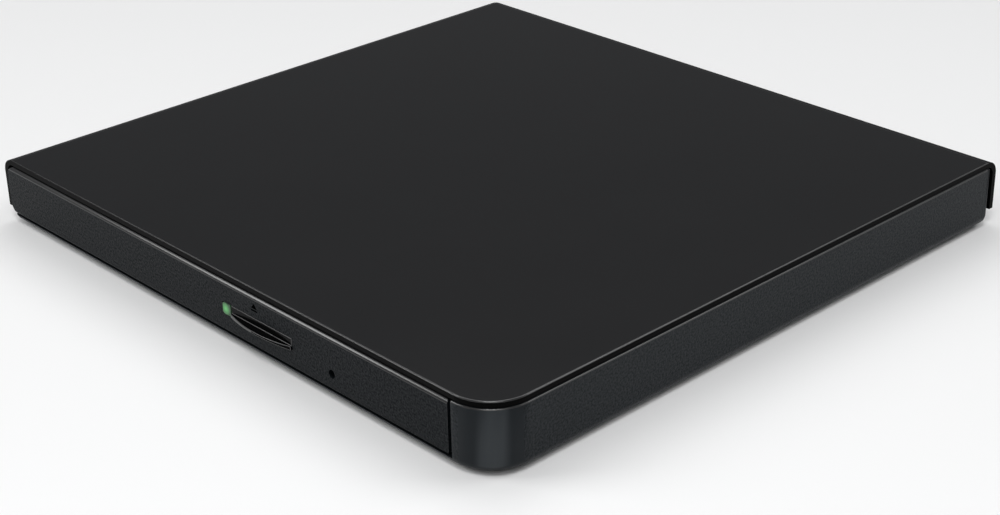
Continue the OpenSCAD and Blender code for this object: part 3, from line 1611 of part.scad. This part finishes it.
top_cover();
bottom_case();
rubber_feet();
case_screws();
usb_board();
usb_chips();
usb_socket();
usb_tongue();
usb_board_screws();
drive_pan();
drive_lid();
lid_screws();
pan_screws();
lock_post();
rear_board();
rear_board_screws();
link_connector();
rear_cable_socket();
left_guide();
right_guide();
left_rail();
right_rail();
disc_tray();
tray_plate();
tray_plate_screws();
front_bezel();
lamp_lens();
lamp_chip();
eject_button();
eject_switch();
switch_plunger();
tray_board();
tray_chips();
tray_board_screws();
tray_cable_socket();
flat_cable();
traverse_frame();
traverse_cover();
dampers();
damper_screws();
main_shaft();
sub_shaft();
feed_motor();
lead_screw();
motor_base();
stator();
turntable();
turntable_pad();
claw_1();
claw_2();
claw_3();
pickup_body();
feed_tooth();
laser_diode();
lens_yoke();
objective_lens();
latch_lever();
solenoid();
solenoid_plunger();
eject_pusher();
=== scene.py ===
"""Looks of the slim external disc drive: materials, edges, printed mark, floor, light and camera."""

import json
import math

import bpy
from mathutils import Matrix, Vector


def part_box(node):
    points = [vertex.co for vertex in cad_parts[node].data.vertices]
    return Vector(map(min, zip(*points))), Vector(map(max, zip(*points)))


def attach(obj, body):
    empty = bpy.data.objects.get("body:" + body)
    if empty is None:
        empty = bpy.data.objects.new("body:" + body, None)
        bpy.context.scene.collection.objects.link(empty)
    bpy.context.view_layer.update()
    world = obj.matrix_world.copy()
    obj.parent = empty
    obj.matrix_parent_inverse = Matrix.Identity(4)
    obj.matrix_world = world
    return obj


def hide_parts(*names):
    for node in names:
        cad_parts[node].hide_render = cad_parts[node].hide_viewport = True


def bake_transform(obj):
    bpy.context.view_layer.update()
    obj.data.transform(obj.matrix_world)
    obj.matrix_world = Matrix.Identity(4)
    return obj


MM = 0.001

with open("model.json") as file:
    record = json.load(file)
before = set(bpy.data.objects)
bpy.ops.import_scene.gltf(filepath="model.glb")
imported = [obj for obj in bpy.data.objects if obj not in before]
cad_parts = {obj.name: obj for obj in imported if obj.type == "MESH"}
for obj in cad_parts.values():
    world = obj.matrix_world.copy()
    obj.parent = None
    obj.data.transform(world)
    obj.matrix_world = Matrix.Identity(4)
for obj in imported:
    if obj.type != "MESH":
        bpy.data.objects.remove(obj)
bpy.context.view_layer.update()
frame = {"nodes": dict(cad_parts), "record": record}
nodes = frame["nodes"]

# Places and sizes on the front, in metres
FRONT_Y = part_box("front_bezel")[0][1]
MARK_X = 11.8 * MM
MARK_Z = 10.3 * MM
MARK_HALF = 0.85 * MM
MARK_LIFT = 0.02 * MM
TIP = 0.75 * MM
BASE = -0.15 * MM
BAR_TOP = -0.4 * MM
BAR_LOW = -0.7 * MM
LAMP_X = 3.1 * MM
LAMP_Z = 7.0 * MM
LAMP_REACH = 1.25 * MM
LAMP_COLOR = (0.09, 0.4, 0.11, 1.0)

# Surfaces: depth of the grain, the part of its noise that is used, and the colours that pieces share
GRAIN_DEPTH = 0.1 * MM
GRAIN_DETAIL = 3.0
GRAIN_LOW = 0.35
GRAIN_HIGH = 0.65
COAT_ROUGHNESS = 0.05
SLATE = (0.86, 0.94, 1.0)
CASE_COLOR = (0.0045, 0.006, 0.0074)
CASE_ROUGHNESS = 0.48
CASE_SHINE = 0.24

# Painted highlight on the round corner: where its shine is strongest, and between which cosines it fades
CORNER_SHINE = 0.62
CORNER_MIDDLE = (0.72, -0.69, 0.0)
CORNER_FADE = (0.92, 0.998)

# Rounded edges
TOUCH = 0.001 * MM
EDGE_SEGMENTS = 3
SHARP_ANGLE = math.radians(40)
FLAT_ANGLE = math.radians(0.5)

# Flat cable
CABLE_THICK = 0.12 * MM
FOLD_STEPS = 12

# Floor and light, in metres and watts
FLOOR_REACH = 3.0
SKY_COLOR = (0.95, 0.97, 1.0, 1.0)
SKY_STRENGTH = 0.14
SOFT_BOXES = (
    ("top", (0.0, 0.0, 1.4), 1.8, 1.8, 2.3),
    ("back", (-0.5, 0.47, 1.2), 0.9, 0.9, 4.5),
    ("left", (-0.64, -0.68, 0.62), 0.5, 0.5, 3.9),
    ("rear", (0.5, 0.72, 0.8), 0.6, 0.4, 2.8),
    ("key", (0.4, -0.47, 1.25), 0.3, 0.3, 4.5),
    ("front", (0.6, -0.57, 0.75), 0.7, 0.7, 3.2),
)

# Camera at the photo's angle
AZIMUTH = math.radians(47.079)
ELEVATION = math.radians(26.205)
ROLL = math.radians(1.224)
AIM = Vector((12.739, -9.899, 0.0)) * MM
DISTANCE = 379.73 * MM
LENS = 70.09
SENSOR = 36.0
NEAR = 0.01


def material(name, color, roughness, metallic=0.0, specular=0.5, tint=(1.0, 1.0, 1.0), coat=0.0, grain=0.0,
             grain_size=0.5, mottle=0.0, mottle_size=20.0):
    """Principled material. grain is a fine relief with duller hollows, mottle a slow change of roughness."""
    mat = bpy.data.materials.new(name)
    mat.use_nodes = True
    tree = mat.node_tree
    shader = tree.nodes["Principled BSDF"]
    shader.inputs["Base Color"].default_value = (*color, 1.0)
    shader.inputs["Roughness"].default_value = roughness
    shader.inputs["Metallic"].default_value = metallic
    shader.inputs["Specular IOR Level"].default_value = specular
    shader.inputs["Specular Tint"].default_value = (*tint, 1.0)
    shader.inputs["Coat Weight"].default_value = coat
    shader.inputs["Coat Roughness"].default_value = COAT_ROUGHNESS
    coords = tree.nodes.new("ShaderNodeTexCoord")
    if mottle:
        noise = tree.nodes.new("ShaderNodeTexNoise")
        noise.inputs["Scale"].default_value = 1.0 / (mottle_size * MM)
        spread = tree.nodes.new("ShaderNodeMapRange")
        spread.inputs["To Min"].default_value = roughness - mottle
        spread.inputs["To Max"].default_value = roughness + mottle
        tree.links.new(coords.outputs["Object"], noise.inputs["Vector"])
        tree.links.new(noise.outputs["Fac"], spread.inputs["Value"])
        tree.links.new(spread.outputs["Result"], shader.inputs["Roughness"])
    if grain:
        fine = tree.nodes.new("ShaderNodeTexNoise")
        fine.inputs["Scale"].default_value = 1.0 / (grain_size * MM)
        fine.inputs["Detail"].default_value = GRAIN_DETAIL
        bump = tree.nodes.new("ShaderNodeBump")
        bump.inputs["Strength"].default_value = grain
        bump.inputs["Distance"].default_value = GRAIN_DEPTH
        shine = tree.nodes.new("ShaderNodeMapRange")
        shine.inputs["From Min"].default_value = GRAIN_LOW
        shine.inputs["From Max"].default_value = GRAIN_HIGH
        shine.inputs["To Min"].default_value = specular * (1.0 - grain)
        shine.inputs["To Max"].default_value = specular * (1.0 + grain)
        tree.links.new(coords.outputs["Object"], fine.inputs["Vector"])
        tree.links.new(fine.outputs["Fac"], bump.inputs["Height"])
        tree.links.new(bump.outputs["Normal"], shader.inputs["Normal"])
        tree.links.new(fine.outputs["Fac"], shine.inputs["Value"])
        tree.links.new(shine.outputs["Result"], shader.inputs["Specular IOR Level"])
    return mat


LOOKS = {
    "cover_gloss": dict(color=(0.006, 0.006, 0.0065), roughness=0.2, mottle=0.02),
    # cover_edge: darker, nearly unreflecting finish for the cover's front and right edges only, a painted shade
    "cover_edge": dict(color=(0.002, 0.002, 0.002), roughness=0.15, specular=0.02, mottle=0.02),
    "case_satin": dict(color=CASE_COLOR, roughness=CASE_ROUGHNESS, specular=CASE_SHINE, tint=SLATE, grain=0.45,
                       grain_size=0.4),
    # case_corner: smooth finish of the round corner, which also carries the painted highlight
    "case_corner": dict(color=CASE_COLOR, roughness=CASE_ROUGHNESS, specular=CASE_SHINE, tint=SLATE,
                        mottle=0.02),
    "bezel_satin": dict(color=(0.0045, 0.0058, 0.007), roughness=0.36, specular=0.07, tint=SLATE, grain=0.7,
                        grain_size=0.4),
    "smooth_edge": dict(color=(0.005, 0.005, 0.0055), roughness=0.28, specular=1.0, mottle=0.02),
    "button_gloss": dict(color=(0.001, 0.001, 0.0011), roughness=0.15, specular=0.04, mottle=0.02),
    "lamp_green": dict(color=(0.01, 0.06, 0.015), roughness=0.3, mottle=0.03, mottle_size=1.0),
    "foot_rubber": dict(color=(0.02, 0.02, 0.02), roughness=0.8, grain=0.4, grain_size=0.3),
    "screw_steel": dict(color=(0.5, 0.5, 0.51), roughness=0.35, metallic=1.0, mottle=0.06, mottle_size=2.0),
    "sheet_steel": dict(color=(0.56, 0.57, 0.58), roughness=0.34, metallic=1.0, mottle=0.06, mottle_size=9.0),
    "shaft_chrome": dict(color=(0.72, 0.72, 0.73), roughness=0.12, metallic=1.0, mottle=0.03),
    "board_green": dict(color=(0.012, 0.1, 0.045), roughness=0.4, grain=0.2, grain_size=0.8),
    "chip_black": dict(color=(0.014, 0.014, 0.015), roughness=0.55, grain=0.3, grain_size=0.2),
    "ivory_plastic": dict(color=(0.7, 0.66, 0.55), roughness=0.45, mottle=0.05, mottle_size=4.0),
    "tray_black": dict(color=(0.017, 0.017, 0.019), roughness=0.42, grain=0.3, grain_size=0.3),
    "guide_white": dict(color=(0.68, 0.68, 0.66), roughness=0.45, mottle=0.05, mottle_size=6.0),
    "cable_amber": dict(color=(0.5, 0.31, 0.07), roughness=0.35, mottle=0.05, mottle_size=5.0),
    "cast_frame": dict(color=(0.36, 0.36, 0.37), roughness=0.5, metallic=1.0, grain=0.3, grain_size=0.5),
    "copper_coil": dict(color=(0.55, 0.25, 0.1), roughness=0.4, metallic=1.0, grain=0.4, grain_size=0.3),
    "laser_brass": dict(color=(0.66, 0.45, 0.15), roughness=0.25, metallic=1.0, mottle=0.04, mottle_size=2.0),
    "lens_glass": dict(color=(0.12, 0.16, 0.3), roughness=0.06, coat=1.0, mottle=0.02, mottle_size=3.0),
}
FINISH = {name: material(name, **look) for name, look in LOOKS.items()}


def lamp_glow():
    """Lets the lamp shine through the middle of its lens and fade towards the rim."""
    tree = FINISH["lamp_green"].node_tree
    shader = tree.nodes["Principled BSDF"]
    coords = tree.nodes.new("ShaderNodeTexCoord")
    place = tree.nodes.new("ShaderNodeMapping")
    place.vector_type = "TEXTURE"
    place.inputs["Location"].default_value = (LAMP_X, FRONT_Y, LAMP_Z)
    place.inputs["Scale"].default_value = (LAMP_REACH, LAMP_REACH, LAMP_REACH)
    ball = tree.nodes.new("ShaderNodeTexGradient")
    ball.gradient_type = "SPHERICAL"
    shader.inputs["Emission Color"].default_value = LAMP_COLOR
    tree.links.new(coords.outputs["Object"], place.inputs["Vector"])
    tree.links.new(place.outputs["Vector"], ball.inputs["Vector"])
    tree.links.new(ball.outputs["Fac"], shader.inputs["Emission Strength"])


def corner_painted_highlight():
    """Makes the case's round corner shinier towards its middle: a painted highlight in place of a low lamp's
    highlight.
    """
    tree = FINISH["case_corner"].node_tree
    shader = tree.nodes["Principled BSDF"]
    coords = tree.nodes.new("ShaderNodeTexCoord")
    facing = tree.nodes.new("ShaderNodeVectorMath")
    facing.operation = "DOT_PRODUCT"
    facing.inputs[1].default_value = CORNER_MIDDLE
    shine = tree.nodes.new("ShaderNodeMapRange")
    shine.interpolation_type = "SMOOTHSTEP"
    shine.inputs["From Min"].default_value = CORNER_FADE[0]
    shine.inputs["From Max"].default_value = CORNER_FADE[1]
    shine.inputs["To Min"].default_value = CASE_SHINE
    shine.inputs["To Max"].default_value = CORNER_SHINE
    tree.links.new(coords.outputs["Normal"], facing.inputs[0])
    tree.links.new(facing.outputs["Value"], shine.inputs["Value"])
    tree.links.new(shine.outputs["Result"], shader.inputs["Specular IOR Level"])


lamp_glow()
corner_painted_highlight()

for part in frame["record"]["subparts"]:
    node = nodes[part["node"]]
    node.data.materials.clear()
    node.data.materials.append(FINISH[part["material_slot"]])

nodes["front_bezel"].data.materials[0] = FINISH["bezel_satin"]


def painted_shade_edge(normal):
    """The cover's upright edges at the front and the right, made darker and nearly unreflecting against its
    face as painted shade.
    """
    return abs(normal.z) < 0.5 and normal.x - normal.y > 0.3


def top_round(normal):
    """The bezel's rounded top edge, where its grain stops."""
    return normal.z > 0.1 and normal.y < -0.1


def round_corner(normal):
    """The case's round corner, where its grain stops."""
    return normal.x > 0.15 and normal.y < -0.15


def lip_left_painted_highlight(normal):
    """The left half of the button's lip, given a much shinier finish than the rest as a painted highlight; the
    light in it comes from the lamps.
    """
    return normal.x < -0.03 and normal.y < -0.3


def refinish(name, finish, chosen):
    """Gives a second finish to the faces of a node whose normals are chosen."""
    mesh = nodes[name].data
    mesh.materials.append(FINISH[finish])
    for face in mesh.polygons:
        if chosen(face.normal):
            face.material_index = len(mesh.materials) - 1


# Painted shade: the cover's front and right edges get the darker, duller finish
refinish("top_cover", "cover_edge", painted_shade_edge)
refinish("front_bezel", "smooth_edge", top_round)
refinish("bottom_case", "case_corner", round_corner)
# Painted highlight: only the left half of the button's lip gets the shiny edge finish
refinish("eject_button", "smooth_edge", lip_left_painted_highlight)


def mark_rim(mesh):
    """Weighs the edges that lie at the top of a mesh for the bevel, and no others."""
    top = max(vert.co.z for vert in mesh.vertices) - TOUCH
    weights = mesh.attributes.new("bevel_weight_edge", "FLOAT", "EDGE")
    for line in mesh.edges:
        on_top = all(mesh.vertices[i].co.z > top for i in line.vertices)
        weights.data[line.index].value = 1.0 if on_top else 0.0


def soften(name, width, edge=None, rim=False):
    """Rounds a CAD node's sharp edges in the picture, or its rim alone. edge names the finish they get."""
    obj = nodes[name]
    weld = obj.modifiers.new("weld", "WELD")
    weld.merge_threshold = TOUCH
    flats = obj.modifiers.new("flats", "DECIMATE")
    flats.decimate_type = "DISSOLVE"
    flats.angle_limit = FLAT_ANGLE
    flats.delimit = {"MATERIAL"}
    bevel = obj.modifiers.new("bevel", "BEVEL")
    bevel.width = width * MM
    bevel.segments = EDGE_SEGMENTS
    bevel.limit_method = "ANGLE"
    bevel.angle_limit = SHARP_ANGLE
    bevel.harden_normals = True
    if rim:
        mark_rim(obj.data)
        bevel.limit_method = "WEIGHT"
        bevel.use_clamp_overlap = False
    if edge:
        obj.data.materials.append(FINISH[edge])
        bevel.material = len(obj.data.materials) - 1


soften("top_cover", 0.25, "smooth_edge", rim=True)
soften("bottom_case", 0.25, "smooth_edge", rim=True)
soften("front_bezel", 0.2, "smooth_edge")
soften("eject_button", 0.1, "smooth_edge")
soften("disc_tray", 0.25)
soften("turntable", 0.15)


def add_object(name, data):
    """New object in the scene."""
    obj = bpy.data.objects.new(name, data)
    bpy.context.scene.collection.objects.link(obj)
    return obj


def flat_piece(name, points, y):
    """Thin printed shape on the front, from its corners in X and Z."""
    mesh = bpy.data.meshes.new(name)
    mesh.from_pydata([(x, y, z) for x, z in points], [], [tuple(range(len(points)))])
    obj = add_object(name, mesh)
    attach(obj, "tray")
    return obj


ink = material("mark_ink", (0.0005, 0.0005, 0.0005), 0.5, specular=0.0, mottle=0.05, mottle_size=1.0)
left, right = MARK_X - MARK_HALF, MARK_X + MARK_HALF
triangle = [(left, MARK_Z + BASE), (right, MARK_Z + BASE), (MARK_X, MARK_Z + TIP)]
bar = [(left, MARK_Z + BAR_LOW), (right, MARK_Z + BAR_LOW), (right, MARK_Z + BAR_TOP), (left, MARK_Z + BAR_TOP)]
for name, points in (("mark_triangle", triangle), ("mark_bar", bar)):
    flat_piece(name, points, FRONT_Y - MARK_LIFT).data.materials.append(ink)


def flat_cable():
    """Ribbon folded under the tray, built in place of the CAD cable, which it hides."""
    low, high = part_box("flat_cable")
    radius = (high[2] - low[2]) / 2 - CABLE_THICK / 2
    middle = (high[2] + low[2]) / 2
    fold = low[1] + (high[2] - low[2]) / 2
    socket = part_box("tray_cable_socket")[0][1]
    path = [(y, middle - radius) for y in (high[1], (high[1] + fold) / 2, fold)]
    for i in range(1, FOLD_STEPS):
        a = math.pi * i / FOLD_STEPS
        path.append((fold - radius * math.sin(a), middle - radius * math.cos(a)))
    path += [(y, middle + radius) for y in (fold, (fold + socket) / 2, socket)]
    verts = [(x, y, z) for y, z in path for x in (low[0], high[0])]
    faces = [(2 * i, 2 * i + 1, 2 * i + 3, 2 * i + 2) for i in range(len(path) - 1)]
    mesh = bpy.data.meshes.new("flat_cable_ribbon")
    mesh.from_pydata(verts, [], faces)
    obj = add_object("flat_cable_ribbon", mesh)
    mesh.materials.append(FINISH["cable_amber"])
    solid = obj.modifiers.new("thickness", "SOLIDIFY")
    solid.thickness = CABLE_THICK
    solid.offset = 0.0
    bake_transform(obj)
    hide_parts("flat_cable")


flat_cable()


def lay_floor():
    """Plain pale floor under the object."""
    mesh = bpy.data.meshes.new("floor")
    corners = [(-FLOOR_REACH, -FLOOR_REACH, 0), (FLOOR_REACH, -FLOOR_REACH, 0),
               (FLOOR_REACH, FLOOR_REACH, 0), (-FLOOR_REACH, FLOOR_REACH, 0)]
    mesh.from_pydata(corners, [], [(0, 1, 2, 3)])
    floor = add_object("floor", mesh)
    mesh.materials.append(material("floor_white", (0.95, 0.95, 0.95), 0.2, specular=0.3, mottle=0.02,
                                   mottle_size=200.0))


def set_sky():
    """Dim, even light from all around."""
    world = bpy.data.worlds.new("studio")
    bpy.context.scene.world = world
    world.use_nodes = True
    sky = world.node_tree.nodes["Background"]
    sky.inputs["Color"].default_value = SKY_COLOR
    sky.inputs["Strength"].default_value = SKY_STRENGTH


def soft_box(name, place, width, height, watts):
    """Area light at place, facing the object."""
    light = bpy.data.lights.new(name, "AREA")
    light.shape = "RECTANGLE"
    light.size = width
    light.size_y = height
    light.energy = watts
    obj = add_object(name, light)
    obj.location = place
    obj.rotation_euler = (-Vector(place)).to_track_quat("-Z", "Y").to_euler()


def place_camera():
    """Camera at the angle, distance and tilt fitted to the photo's outline."""
    back = Vector((math.sin(AZIMUTH) * math.cos(ELEVATION), -math.cos(AZIMUTH) * math.cos(ELEVATION),
                   math.sin(ELEVATION)))
    ahead = -back
    level = ahead.cross(Vector((0, 0, 1))).normalized()
    down = ahead.cross(level)
    across = math.cos(ROLL) * level + math.sin(ROLL) * down
    down_rolled = -math.sin(ROLL) * level + math.cos(ROLL) * down
    turn = Matrix((across, -down_rolled, back)).transposed().to_4x4()
    data = bpy.data.cameras.new("camera")
    data.lens = LENS
    data.sensor_width = SENSOR
    data.clip_start = NEAR
    camera = add_object("camera", data)
    camera.matrix_world = Matrix.Translation(AIM + back * DISTANCE) @ turn
    bpy.context.scene.camera = camera


lay_floor()
set_sky()
for box in SOFT_BOXES:
    soft_box(*box)
place_camera()

bpy.context.scene.view_settings.view_transform = "Standard"
